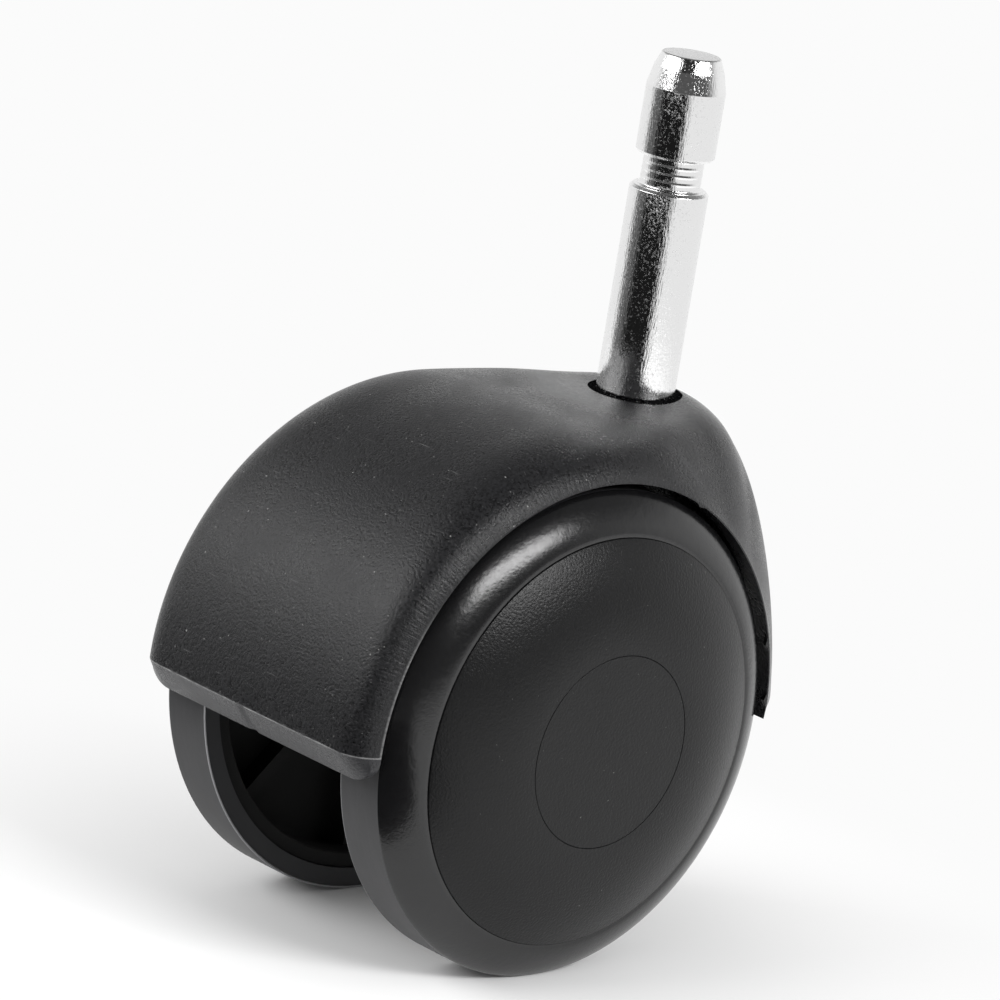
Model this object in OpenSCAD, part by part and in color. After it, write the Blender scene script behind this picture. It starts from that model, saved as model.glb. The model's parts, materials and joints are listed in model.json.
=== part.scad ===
// Twin-wheel hooded swivel caster for an office chair.
// Origin: on the stem's axis, at the step where the stem's mounting length starts, just above the hood.
// +Z runs up the stem, +X along the axle, and +Y towards the hood's nose, which leads as the caster rolls.

/* [Wheel] */
// Width of the caster over the two wheel caps
caster_w = 42.9; // [41.5:0.1:48]
// Diameter over the treads
wheel_d = 50; // [46:0.5:56]
// Width of the tread band
tread_w = 5.5; // [4:0.1:6.8]
// Thickness of the tread band
tread_t = 2.1; // [1.5:0.1:3]
// Width of the rounded rim beside the tread
rim_w = 2.55; // [1.5:0.05:4]
// Radial height of the rounded rim
rim_h = 3.75; // [2.5:0.05:5]
// Shape of the rounded rim: 1 is a full quarter ellipse, 2 a straight bevel
rim_shape = 1.5; // [1:0.05:2]
// Radial thickness of the wheel's rim under the tread
rim_t = 1.5; // [1:0.1:2.5]
// Thickness of the wheel's disc
disc_t = 1.8; // [1.2:0.1:2.6]
// Diameter of the wheel's hub
hub_d = 13; // [10:0.5:16]
// Number of ribs behind the wheel's disc
rib_count = 8; // [4:1:12]
// Thickness of each rib
rib_t = 1.4; // [1:0.1:2.5]
// Height of the ribs
rib_h = 2; // [1:0.1:2.6]

/* [Wheel cap] */
// How deep the cap's seat lies below the edge of the rim
cap_seat = 1.5; // [1:0.1:2.5]
// Width of the land between the rim's curve and the cap's seat
cap_land = 0.3; // [0.15:0.05:0.8]
// How far the cap's edge stands above the rim
cap_step = 0.1; // [0.05:0.05:0.8]
// Rise of the cap from its edge to its flat middle
cap_rise = 2.95; // [2:0.05:4]
// Radius of the cap's flat middle
cap_flat_r = 9.9; // [6:0.1:14]
// Wall of the cap
cap_t = 1.6; // [1:0.1:2]
// Width and depth of the fine ring line round the flat middle
cap_line = 0.22; // [0.1:0.02:0.4]

/* [Stem] */
// Diameter of the mounting length
stem_d = 8; // [7:0.1:10]
// Height of the tip above the step
stem_len = 33.5; // [30:0.05:45]
// Radial depth of the grip neck
neck_depth = 0.95; // [0.5:0.05:1.4]
// Length of the grip neck
neck_len = 3.2; // [2:0.1:5]
// Height of the head above the neck, with its taper
head_len = 10.3; // [8:0.1:14]
// Height of the two tapers at the tip
tip_len = 3.4; // [2.5:0.1:5]
// Height of the upper of the two tapers
tip_upper = 1.4; // [0.8:0.1:2]
// Radial taper from the head to the flat at the tip
tip_depth = 1.1; // [0.8:0.05:1.6]
// Radial step from the mounting length down to the journal that turns in the hood
journal_step = 0.25; // [0.2:0.05:0.6]
// Depth of the journal's end below the step
journal_len = 23.2; // [20:0.1:25]

/* [Swivel] */
// Wall of the swivel bush
bush_t = 1; // [0.7:0.05:1.5]
// Height of the snap ring
ring_h = 1; // [0.6:0.05:1.6]
// Thickness of the thrust disc under the stem
thrust_t = 1.2; // [0.8:0.1:2]
// Wall of the socket around the swivel bush
socket_t = 3.2; // [2:0.1:3.6]

/* [Axle] */
// Diameter of the axle
axle_d = 6; // [5:0.1:8]
// Length of the hood's axle boss
boss_len = 17.2; // [14:0.1:18]
// Wall of the axle boss
boss_t = 3.2; // [2:0.1:4]
// Width of the axle clip's flat ring
clip_land = 1.8; // [1.2:0.1:2.4]
// Length of the axle clip's teeth
clip_tooth = 1.2; // [0.8:0.1:1.6]
// Sheet thickness of the axle clip
clip_t = 0.5; // [0.3:0.05:0.8]

/* [Hood] */
// Distance from the stem's axis back to the axle
trail = 16.8; // [14:0.1:18]
// Height of the stem's step above the top of the wheels
roof_rise = 5.9; // [5:0.05:7]
// How far the hood's sides reach past the treads
side_reach = 0.9; // [0.5:0.1:2]
// Gap between the hood's arch and the tread
arch_gap = 0.8; // [0.5:0.1:1.5]
// Thickness of the hood's lip at the edge of the arch
lip_t = 0.5; // [0.4:0.05:1]
// Thickness of the hood over the tread at mid-width, at the rear
crown_t = 3.2; // [2.4:0.05:4]
// How far the nose reaches ahead of the stem's axis, at the foot of the dome
nose_reach = 17.4; // [16:0.1:19]
// Half width of the oval foot of the dome, which the hood's sides cut off
dome_half = 22.1; // [20:0.1:24]
// Width of the rounded shoulder along the lip, at the rear
shoulder_rear = 4; // [2:0.1:5]
// Width of the rounded shoulder over the top of the wheels
shoulder_top = 9.2; // [5:0.1:10]
// Width of the rounded shoulder beside the stem
shoulder_stem = 12; // [6:0.1:13]
// Width of the rounded shoulder on the nose
shoulder_nose = 10; // [4:0.1:11]
// Wall of the hood
hood_t = 2.4; // [1.8:0.1:2.6]
// Thickness of the centre web
web_t = 5; // [3:0.1:7]
// Drop of the hood's rear edge below the axle
rear_drop = 2.7; // [1.5:0.1:4]

/* [Clearances] */
// Height of the stem's step above the top of the hood's dome
step_gap = 0.75; // [0.5:0.05:1.2]
// Radial running clearance of the journal in its bush
journal_fit = 0.05; // [0.02:0.01:0.1]
// Radial running clearance of the wheel on its axle
axle_fit = 0.06; // [0.02:0.01:0.1]
// Gap beside each hub
hub_gap = 0.3; // [0.2:0.05:0.6]
// Gap under the stem's end
thrust_gap = 0.1; // [0.05:0.05:0.3]
// Axial play of the snap ring under the bush
ring_gap = 0.4; // [0.2:0.05:0.8]
// Radial gap between the cap and its seat
cap_fit = 0.1; // [0.05:0.01:0.2]
// Radial gap round the thrust disc
thrust_fit = 0.1; // [0.05:0.01:0.2]

/* [Hidden] */
$fn = 96;
quarter_turn = 90;
full_turn = 360;
wheel_r = wheel_d / 2;
stem_r = stem_d / 2;
neck_r = stem_r - neck_depth;
tip_r = stem_r - tip_depth;
journal_r = stem_r - journal_step;
axle_r = axle_d / 2;
hub_r = hub_d / 2;

// Axial stations, measured from the mid-plane
cap_top = caster_w / 2;
cap_edge = cap_top - cap_rise;
rim_out = cap_edge - cap_step;
tread_out = rim_out - rim_w;
tread_in = tread_out - tread_w;
disc_out = rim_out - cap_seat;
disc_in = disc_out - disc_t;
boss_half = boss_len / 2;
hub_in = boss_half + hub_gap;
hood_half = tread_out + side_reach;

// Wheel radii
core_r = wheel_r - tread_t;
cup_r = core_r - rim_t;
rim_edge_r = wheel_r - rim_h;
seat_r = rim_edge_r - cap_land;
cap_foot = 0.3;
cap_r = seat_r - cap_fit;
pilot_r = axle_r / 2;
core_setback = 0.6;
edge_round = 0.4;
edge_soft = 0.12;
tread_step = 0.25;
tread_lead = 0.1;
rib_root = 0.5;
round_steps = 8;
inside_steps = 4;

// Axle clip and axle end
clip_lift = 0.6;
clip_play = 0.25;
clip_in = disc_out + clip_play;
clip_teeth = 6;
clip_slot = 1.2;
axle_proud = 0.6;
axle_half = clip_in + clip_t + clip_lift + axle_proud;
axle_chamfer = 0.5;

// Stem stations, measured from the step
head_top = stem_len;
head_base = stem_len - head_len;
neck_base = head_base - neck_len;
tip_base = stem_len - tip_len;
edge_chamfer = 0.3;
neck_ridge = 0.14;
neck_ridges = 3;
tip_mid = stem_len - tip_upper;
tip_mid_share = 0.45;
tip_mid_r = stem_r - tip_depth * tip_mid_share;
end_flat = 0.45;
end_round = 1.4;

// Swivel socket
bore_r = journal_r + journal_fit + bush_t;
hood_top = -step_gap;
bush_recess = 1.65;
bush_top = hood_top - bush_recess;
thrust_top = -journal_len - thrust_gap;
bore_floor = thrust_top - thrust_t;
ring_groove_depth = 0.75;
ring_groove_play = 0.2;
ring_wall_gap = 0.3;
ring_up = 2.9;
ring_low = -journal_len + ring_up;
ring_opening = 40;
bush_low = ring_low + ring_h + ring_gap;
socket_r = bore_r + socket_t;
socket_floor = 3;
socket_low = bore_floor - socket_floor;
collar_t = 1.4;
collar_r = bore_r + collar_t;
skin_cover = 0.5;
cut = 1;

// Hood, in polar terms about the axle: 0 degrees points to the nose, 90 straight up, 180 to the rear
top_angle = 90;
rear_angle = 180;
axle_drop = wheel_r + roof_rise;
well_r = wheel_r + arch_gap;
lip_r = well_r + lip_t;
dome_lift = 0.83;
dome_h = axle_drop - step_gap + dome_lift;
roof_step = 0.49;
roof_h = axle_drop - step_gap - roof_step;
boss_r = axle_r + boss_t;
rear_r = well_r + crown_t;
level_from = 50.8;
level_to = 62;
side_from = 36;
side_to = 84;
widen_to = 50;
widen_from = 45;
sag_top = 0.3;
sag_rear = 0.2;
shoulder_shape = 3.2;
shoulder_cut = 0.94;
dome_flat = 2.62;
dome_round = 1.4;
dome_near = boss_r;
dome_far = trail + nose_reach + roof_h;
halvings = 20;
side_t = 2.2;
rear_end = rear_angle + asin(rear_drop / well_r);
nose_out = 2.4;
nose_in = -0.4;
corner_r = 3;
corner_keep = 0.15;
bevel_land = 1;

// Centre web
web_low = 5;
web_back = 122;
web_step = 3;
web_foot_inset = 1.2;
web_foot = boss_r - web_foot_inset;
web_lap = 1;

// Blends from 0 to 1 with level ends
function ease(t) = t <= 0 ? 0 : t >= 1 ? 1 : t * t * (3 - 2 * t);
function mix(a, b, t) = a + (b - a) * t;

// Points of the rounded rim, from the tread to the side face
function rim_curve() = [for (i = [0 : round_steps]) let (a = quarter_turn * i / round_steps)
    [rim_edge_r + rim_h * pow(cos(a), rim_shape), tread_out + rim_w * pow(sin(a), rim_shape)]];

// Points of the cap's shoulder, an arc that leaves the flat middle level, from the flat to the edge
function cap_curve(r_end, x_flat, drop) = let (
        run = r_end - cap_flat_r,
        radius = (run * run + drop * drop) / (2 * drop),
        sweep = asin(run / radius))
    [for (i = [0 : round_steps]) let (a = sweep * i / round_steps)
        [cap_flat_r + radius * sin(a), x_flat - radius * (1 - cos(a))]];

// Radius of the arched roof: it is level behind the stem and rounds off to the rear
function level_r(phi) = roof_h / max(sin(min(phi, top_angle)), sin(web_low));
function rear_share(phi) = ease((phi - top_angle) / (rear_angle - top_angle));
function arch_r(x, phi) = let (
        u = x / hood_half,
        sag = mix(sag_top, sag_rear, rear_share(phi)) * u * u,
        rear = mix(roof_h, rear_r, rear_share(phi)))
    (phi < top_angle ? level_r(phi) : rear) - sag;

// Width of the rounded shoulder, from the nose past the stem and over the top to the rear
function shoulder_w(phi) = let (front = mix(shoulder_nose, shoulder_stem, ease(phi / widen_to)))
    phi < top_angle ? mix(front, shoulder_top, ease((phi - widen_from) / (top_angle - widen_from)))
    : mix(shoulder_top, shoulder_rear, rear_share(phi));

// Share of the roof's height over the lip that the shoulder leaves near the lip
function shoulder_fall(t) = pow(1 - pow(shoulder_cut * t, shoulder_shape), 1 / shoulder_shape);
function shoulder_share(x, phi) = let (t = max(1 - (hood_half - abs(x)) / shoulder_w(phi), 0))
    (shoulder_fall(t) - shoulder_fall(1)) / (1 - shoulder_fall(1));

// The dome, oval ahead of the stem and straight behind it: its height ahead of the stem, and whether a point
// lies in it
function dome_top(rho) = dome_h * pow(1 - pow(rho / nose_reach, dome_flat), 1 / dome_round) - axle_drop;
function in_dome(x, y, z) = pow(norm([x / dome_half, max(y - trail, 0) / nose_reach]), dome_flat)
    + pow(max(z, 0) / dome_h, dome_round) < 1;

// Radius of the dome as seen from the axle, found by halving
function dome_edge(x, phi, low, high, steps) = let (mid = (low + high) / 2)
    steps == 0 ? mid
    : in_dome(x, mid * cos(phi), mid * sin(phi)) ? dome_edge(x, phi, mid, high, steps - 1)
    : dome_edge(x, phi, low, mid, steps - 1);

// Radius of the hood's outside: the dome passes into the arch behind the stem, more slowly at the sides
function arch_share(x, phi) = let (
        side = pow(x / hood_half, 2),
        from = mix(level_from, side_from, side),
        to = mix(level_to, side_to, side))
    ease((phi - from) / (to - from));
function crown_r(x, phi) = mix(dome_edge(x, phi, dome_near, dome_far, halvings), arch_r(x, phi),
    arch_share(x, phi));
function outer_r(x, phi) = mix(lip_r, max(crown_r(x, phi), lip_r), shoulder_share(x, phi));

// Radius of the hood's inside
function inner_r(x, phi) = abs(x) > hood_half - side_t ? well_r
    : max(well_r, outer_r(x, phi) - hood_t);

// Share of the rear edge's drop that is left near the hood's lower corners
function corner_share(x) = let (d = hood_half - abs(x))
    d >= corner_r ? 1 : mix(corner_keep, 1, sqrt(1 - pow(1 - d / corner_r, 2)));

// Below the axle the hood's rear edge follows its rounded corners, and its outside is bevelled
function edge_angle(x, phi, nose_end) = phi > rear_angle
    ? rear_angle + (phi - rear_angle) * corner_share(x)
    : phi == 0 ? nose_end : phi;
function bevel_share(phi) = max(phi - rear_angle, 0) / (rear_end - rear_angle);
function shell_r(x, phi) = let (skin = outer_r(x, min(phi, rear_angle)))
    mix(skin, min(skin, well_r + bevel_land), bevel_share(phi));

// Sections of the hood
half_shares = [0, 0.2, 0.38, 0.52, 0.63, 0.72, 0.79, 0.85, 0.89, 0.925, 0.95, 0.97, 0.985, 0.995, 1];
last_share = len(half_shares) - 1;
widths = [for (i = [last_share : -1 : 1]) -half_shares[i], for (s = half_shares) s];
angle_step = 5;
bevel_steps = 4;
angles = [for (a = [0 : angle_step : rear_angle]) a,
    for (i = [1 : bevel_steps]) mix(rear_angle, rear_end, i / bevel_steps)];
across = len(widths);
loop = 2 * across;

function polar(x, r, phi) = [x, r * cos(phi), r * sin(phi)];
function section(phi) = concat(
    [for (w = widths) let (x = w * hood_half) polar(x, shell_r(x, phi), edge_angle(x, phi, nose_out))],
    [for (i = [across - 1 : -1 : 0]) let (x = widths[i] * hood_half)
        polar(x, inner_r(x, min(phi, rear_angle)), edge_angle(x, phi, nose_in))]);

module shell() {
    points = [for (a = angles) each section(a)];
    count = len(angles);
    sides = [for (i = [0 : count - 2], j = [0 : loop - 1]) let (
            a = i * loop + j, b = i * loop + (j + 1) % loop, c = b + loop, d = a + loop)
        each [[a, b, c], [a, c, d]]];
    low = [for (j = [0 : across - 2]) let (a = j, b = j + 1, c = loop - 2 - j, d = loop - 1 - j)
        each [[a, c, b], [a, d, c]]];
    top = (count - 1) * loop;
    high = [for (j = [0 : across - 2]) let (
            a = top + j, b = a + 1, c = top + loop - 2 - j, d = c + 1)
        each [[a, b, c], [a, c, d]]];
    polyhedron(points, concat(sides, low, high));
}

// Places children, drawn about the axle, at the axle
module at_axle() translate([0, -trail, -axle_drop]) children();

// Turns a profile of [radius, distance from the mid-plane] about the axle
module turned() rotate([0, 90, 0]) rotate_extrude() children();

// A bar along the axle
module axle_bar(r, from, to) translate([from, 0, 0]) rotate([0, 90, 0]) cylinder(r = r, h = to - from);

// The centre web, which joins the socket, the axle boss, the roof and the nose
module web() {
    rim = [for (a = [web_low : web_step : web_back]) (outer_r(0, a) - hood_t / 2) * [cos(a), sin(a)]];
    foot = [[-web_foot, 0], [0, -web_foot], [web_foot, 0],
        [trail - socket_r, axle_drop + socket_low + web_lap]];
    rotate([90, 0, 90]) translate([0, 0, -web_t / 2]) linear_extrude(web_t) polygon(concat(rim, foot));
}

// A round post about the stem's axis, from the socket's floor to just under the dome's skin
module post(r) translate([0, 0, socket_low]) cylinder(r = r, h = dome_top(r) - skin_cover - socket_low);

module hood() {
    color("#1b1b1d") difference() {
        union() {
            at_axle() shell();
            at_axle() web();
            at_axle() axle_bar(boss_r, -boss_half, boss_half);
            post(socket_r);
            post(collar_r);
        }
        translate([0, 0, bore_floor]) cylinder(r = bore_r, h = roof_rise - bore_floor);
        at_axle() axle_bar(axle_r, -boss_half - cut, boss_half + cut);
    }
}

module stem() {
    groove_low = ring_low - ring_groove_play / 2;
    groove_high = ring_low + ring_h + ring_groove_play / 2;
    groove_r = journal_r - ring_groove_depth;
    ridge_pitch = neck_len / (neck_ridges + 1);
    ridges = [for (i = [1 : neck_ridges]) let (z = neck_base + i * ridge_pitch)
        each [[neck_r, z - neck_ridge], [neck_r + neck_ridge, z], [neck_r, z + neck_ridge]]];
    color("#d8d9da") rotate_extrude() polygon(concat(
        [[0, -journal_len], [journal_r * end_flat, -journal_len]],
        [for (i = [1 : round_steps]) let (a = quarter_turn * i / round_steps)
            [journal_r * mix(end_flat, 1, sin(a)), -journal_len + end_round * (1 - cos(a))]],
        [[journal_r, groove_low], [groove_r, groove_low], [groove_r, groove_high], [journal_r, groove_high],
            [journal_r, 0], [stem_r, 0],
            [stem_r, neck_base - edge_chamfer], [stem_r - edge_chamfer, neck_base], [neck_r, neck_base]],
        ridges,
        [[neck_r, head_base], [stem_r - edge_chamfer, head_base], [stem_r, head_base + edge_chamfer],
            [stem_r, tip_base], [tip_mid_r, tip_mid], [tip_r, head_top], [0, head_top]]));
}

module swivel_bush() {
    color("#b9bbbd") difference() {
        translate([0, 0, bush_low]) cylinder(r = bore_r, h = bush_top - bush_low);
        translate([0, 0, bush_low - cut])
            cylinder(r = journal_r + journal_fit, h = bush_top - bush_low + 2 * cut);
    }
}

module snap_ring() {
    ring_in = journal_r - ring_groove_depth;
    ring_out = bore_r - ring_wall_gap;
    color("#6c6f73") translate([0, 0, ring_low]) rotate([0, 0, ring_opening / 2])
        rotate_extrude(angle = full_turn - ring_opening)
            translate([ring_in, 0]) square([ring_out - ring_in, ring_h]);
}

module thrust_disc() {
    color("#8d9095") translate([0, 0, bore_floor]) cylinder(r = bore_r - thrust_fit, h = thrust_t);
}

module axle() {
    color("#c4c6c8") at_axle() turned() polygon([[0, -axle_half], [axle_r - axle_chamfer, -axle_half],
        [axle_r, -axle_half + axle_chamfer], [axle_r, axle_half - axle_chamfer],
        [axle_r - axle_chamfer, axle_half], [0, axle_half]]);
}

// The moulded wheel, on the +X side: rounded rim, seat for the cap, disc, ribs and hub
module wheel_core() {
    core_in = tread_in + core_setback;
    profile = concat(
        [[pilot_r, hub_in], [hub_r - edge_round, hub_in], [hub_r, hub_in + edge_round], [hub_r, disc_in],
            [cup_r - edge_round, disc_in], [cup_r, core_in + edge_round], [cup_r + edge_round, core_in],
            [core_r, core_in], [core_r, tread_out]],
        rim_curve(),
        [[seat_r, rim_out], [seat_r, disc_out], [pilot_r, disc_out]]);
    difference() {
        union() {
            turned() polygon(profile);
            for (i = [0 : rib_count - 1])
                rotate([full_turn * i / rib_count, 0, 0])
                    translate([disc_in - rib_h, hub_r - rib_root, -rib_t / 2])
                        cube([rib_h + disc_t / 2, cup_r - hub_r + 2 * rib_root, rib_t]);
        }
        axle_bar(axle_r + axle_fit, hub_in - cut, disc_out + cut);
    }
}

// The tread band, with a rounded outer edge and a fine step on its inner end
module tread() {
    step_r = wheel_r - 2 * edge_round;
    turned() polygon([[core_r, tread_in + tread_step], [step_r, tread_in + tread_step],
        [step_r + tread_lead, tread_in], [wheel_r - edge_round, tread_in],
        [wheel_r - edge_soft, tread_in + edge_soft], [wheel_r, tread_in + edge_round],
        [wheel_r, tread_out], [core_r, tread_out]]);
}

// The domed cap that hides the hub, with a fine ring line round its flat middle
module wheel_cap() {
    inside_top = cap_top - cap_t;
    wall_in = cap_r - cap_t;
    wall_top = max(cap_edge - cap_t, disc_out + cap_foot);
    turned() polygon(concat(
        [[0, inside_top], [0, cap_top], [cap_flat_r - cap_line, cap_top],
            [cap_flat_r - cap_line / 2, cap_top - cap_line]],
        cap_curve(cap_r, cap_top, cap_rise),
        [[cap_r, disc_out], [wall_in, disc_out]],
        [for (i = [0 : inside_steps]) let (t = i / inside_steps)
            [mix(wall_in, cap_flat_r, t), mix(wall_top, inside_top, sin(quarter_turn * t))]]));
}

// The push-on clip that keeps a wheel on the axle
module axle_clip() {
    tooth_root = axle_r + clip_tooth;
    clip_r = tooth_root + clip_land;
    difference() {
        turned() polygon([[axle_r, clip_in + clip_lift], [tooth_root, clip_in], [clip_r, clip_in],
            [clip_r, clip_in + clip_t], [tooth_root, clip_in + clip_t],
            [axle_r, clip_in + clip_lift + clip_t]]);
        for (i = [0 : clip_teeth - 1])
            rotate([full_turn * i / clip_teeth, 0, 0])
                translate([clip_in - cut, 0, -clip_slot / 2])
                    cube([clip_lift + clip_t + 2 * cut, tooth_root, clip_slot]);
    }
}

module right_wheel() color("#1d1d1f") at_axle() wheel_core();
module left_wheel() color("#1d1d1f") at_axle() mirror([1, 0, 0]) wheel_core();
module right_tread() color("#2c2c2e") at_axle() tread();
module left_tread() color("#2c2c2e") at_axle() mirror([1, 0, 0]) tread();
module right_wheel_cap() color("#19191b") at_axle() wheel_cap();
module left_wheel_cap() color("#19191b") at_axle() mirror([1, 0, 0]) wheel_cap();
module right_axle_clip() color("#9a9da0") at_axle() axle_clip();
module left_axle_clip() color("#9a9da0") at_axle() mirror([1, 0, 0]) axle_clip();

hood();
stem();
swivel_bush();
snap_ring();
thrust_disc();
axle();
right_wheel();
left_wheel();
right_tread();
left_tread();
right_wheel_cap();
left_wheel_cap();
right_axle_clip();
left_axle_clip();
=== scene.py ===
import json
import math

import bmesh
import bpy
import numpy as np
from mathutils import Matrix, Vector


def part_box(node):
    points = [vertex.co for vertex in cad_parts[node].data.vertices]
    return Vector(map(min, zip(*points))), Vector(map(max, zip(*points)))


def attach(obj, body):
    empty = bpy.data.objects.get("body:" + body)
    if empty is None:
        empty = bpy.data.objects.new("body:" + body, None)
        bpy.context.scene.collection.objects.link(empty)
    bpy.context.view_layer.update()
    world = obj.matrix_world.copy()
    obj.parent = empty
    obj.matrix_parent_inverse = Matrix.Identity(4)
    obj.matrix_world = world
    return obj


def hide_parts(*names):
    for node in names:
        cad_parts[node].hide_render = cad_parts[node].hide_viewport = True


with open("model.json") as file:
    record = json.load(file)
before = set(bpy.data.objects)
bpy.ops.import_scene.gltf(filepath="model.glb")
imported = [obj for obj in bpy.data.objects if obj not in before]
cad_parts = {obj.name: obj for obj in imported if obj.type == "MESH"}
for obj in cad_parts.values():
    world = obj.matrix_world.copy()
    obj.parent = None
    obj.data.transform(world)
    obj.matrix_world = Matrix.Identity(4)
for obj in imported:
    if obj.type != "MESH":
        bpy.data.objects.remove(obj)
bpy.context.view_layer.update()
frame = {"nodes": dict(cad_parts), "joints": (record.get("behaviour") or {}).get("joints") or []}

# Swivel stem
# A pin turned from drawn steel bar and plated bright. The ridged neck below its head snaps into the
# chair's socket, and its lower end turns in the hood.

# Sizes are in millimetres, and MM brings them to the frame's metres
MM = 0.001
SHARP = math.radians(32)
TURN_STEPS = 160
weld_gap = 0.0005
edge_break = 0.12
fillet = 0.25
fillet_share = 0.48
head_len, neck_len = 10.3, 3.2
neck_depth, neck_chamfer = 0.95, 0.3
neck_ridges = 3
ridge_h, ridge_half = 0.04, 0.2
tip_len, tip_end_len = 3.4, 1.4
tip_mid_depth, tip_depth = 0.48, 1.05
collar_end = -2.2
journal_step = 0.25
ring_up, ring_groove_w, ring_groove_depth = 2.8, 1.2, 0.75
end_inset, end_taper = 0.95, 1.4

stem_low, stem_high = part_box("stem")
stem_r = stem_high.x / MM
stem_top = stem_high.z / MM
stem_end = stem_low.z / MM
head_base = stem_top - head_len
neck_base = head_base - neck_len
neck_r = stem_r - neck_depth
tip_base = stem_top - tip_len
tip_mid = stem_top - tip_end_len
tip_mid_r = stem_r - tip_mid_depth
tip_r = stem_r - tip_depth
journal_r = stem_r - journal_step
ring_low = stem_end + ring_up
ring_high = ring_low + ring_groove_w
ring_groove_r = journal_r - ring_groove_depth
end_flat_r = journal_r - end_inset


def rounded(corners, arc_steps=6):
    """Points of an outline of (radius, station, fillet) corners, with each fillet as a curve."""
    points = []
    for i, (radius, station, round_off) in enumerate(corners):
        corner = Vector((radius, station))
        if not round_off:
            points.append(corner)
            continue
        before = Vector(corners[i - 1][:2]) - corner
        after = Vector(corners[(i + 1) % len(corners)][:2]) - corner
        reach = round_off / math.tan(before.angle(after) / 2)
        start = corner + before.normalized() * min(reach, before.length * fillet_share)
        end = corner + after.normalized() * min(reach, after.length * fillet_share)
        for step in range(arc_steps + 1):
            t = step / arc_steps
            points.append(start * (1 - t) ** 2 + corner * 2 * t * (1 - t) + end * t**2)
    return points


def new_piece(name, shape):
    """A shown object from a bmesh, smooth but for its sharp edges."""
    bmesh.ops.recalc_face_normals(shape, faces=shape.faces)
    mesh = bpy.data.meshes.new(name)
    shape.to_mesh(mesh)
    shape.free()
    mesh.shade_smooth()
    mesh.set_sharp_from_angle(angle=SHARP)
    piece = bpy.data.objects.new(name, mesh)
    bpy.context.scene.collection.objects.link(piece)
    return piece


def turned(name, outline, centre, axis, across):
    """Spins an outline of (radius, station) points in mm round an axis, closed where it leaves the axis."""
    shape = bmesh.new()
    points = [shape.verts.new(centre + (across * r + axis * s) * MM) for r, s in outline]
    on_axis = outline[0][0] == 0
    pairs = list(zip(points, points[1:])) + ([] if on_axis else [(points[-1], points[0])])
    edges = [shape.edges.new(pair) for pair in pairs]
    bmesh.ops.spin(shape, geom=points + edges, cent=centre, axis=axis, angle=2 * math.pi,
                   steps=TURN_STEPS, use_merge=True)
    bmesh.ops.remove_doubles(shape, verts=shape.verts, dist=weld_gap * MM)
    return new_piece(name, shape)


ORIGIN = Vector((0, 0, 0))
X_AXIS, Y_AXIS, Z_AXIS = Matrix.Identity(3)
ridge_pitch = (head_base - neck_base) / (neck_ridges + 1)
ridges = []
for ridge in range(1, neck_ridges + 1):
    height = neck_base + ridge * ridge_pitch
    ridges += [(neck_r, height - ridge_half, edge_break), (neck_r + ridge_h, height, edge_break),
               (neck_r, height + ridge_half, edge_break)]
stem = turned(
    "plated_stem",
    rounded(
        [(0, stem_end, 0), (end_flat_r, stem_end, fillet), (journal_r, stem_end + end_taper, fillet),
         (journal_r, ring_low, 0), (ring_groove_r, ring_low, 0), (ring_groove_r, ring_high, 0),
         (journal_r, ring_high, 0), (journal_r, collar_end, 0), (stem_r, collar_end, edge_break),
         (stem_r, neck_base - neck_chamfer, edge_break), (stem_r - neck_chamfer, neck_base, edge_break),
         (neck_r, neck_base, fillet)]
        + ridges
        + [(neck_r, head_base, fillet), (stem_r - neck_chamfer, head_base, edge_break),
           (stem_r, head_base + neck_chamfer, edge_break), (stem_r, tip_base, fillet),
           (tip_mid_r, tip_mid, fillet), (tip_r, stem_top, fillet), (0, stem_top, 0)]
    ),
    ORIGIN, Z_AXIS, X_AXIS,
)


def linear(code):
    """An sRGB hex colour as linear RGBA."""
    parts = [int(code[i : i + 2], 16) / 255 for i in (1, 3, 5)]
    return [c / 12.92 if c <= 0.04045 else ((c + 0.055) / 1.055) ** 2.4 for c in parts] + [1.0]


def add(finish, kind, inputs=None, **settings):
    """Adds a node to a material's or world's tree, with its settings, values and links."""
    node = finish.node_tree.nodes.new("ShaderNode" + kind)
    for name, value in settings.items():
        setattr(node, name, value)
    for socket, value in (inputs or {}).items():
        if isinstance(value, bpy.types.Node):
            value = value.outputs["Value"] if "Value" in value.outputs else value.outputs[0]
        if isinstance(value, bpy.types.NodeSocket):
            finish.node_tree.links.new(value, node.inputs[socket])
        else:
            node.inputs[socket].default_value = value
    return node


def new_finish(name):
    """An empty material, and the object's own coordinates in metres."""
    finish = bpy.data.materials.new(name)
    finish.use_nodes = True
    finish.node_tree.nodes.clear()
    place = add(finish, "TexCoord").outputs["Object"]
    return finish, place


def coat(finish, shader):
    """Joins a shader to the material's output."""
    add(finish, "OutputMaterial", {"Surface": shader})


# Bright plating over drawn bar: a mirror broken by short lengthwise drawing marks and by shallow dull pits,
# which fray the edges of what it reflects. The sawn top is paler and less bright. Real marks and pits are
# several times finer, and are drawn as coarse as they need to be to show.
draw_mark_w, draw_mark_len, draw_mark_h = 0.16, 1.1, 0.032
pit_size, pit_depth = 0.25, 0.008
pit_from, pit_to = 0.5, 0.7
bright_rough, pit_rough, sawn_rough = 0.05, 0.3, 0.25
plating, place = new_finish("bright_plated_steel")
along_bar = add(plating, "Mapping", {"Vector": place, "Scale": (
    1 / (draw_mark_w * MM), 1 / (draw_mark_w * MM), 1 / (draw_mark_len * MM))})
marks = add(plating, "TexNoise", {"Vector": along_bar, "Scale": 1.0, "Detail": 3.0}).outputs["Fac"]
pits = add(plating, "TexNoise", {"Vector": place, "Scale": 1 / (pit_size * MM),
                                 "Detail": 2.0}).outputs["Fac"]
mark_bump = add(plating, "Bump", {"Height": marks, "Strength": 1.0, "Distance": draw_mark_h * MM})
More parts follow.
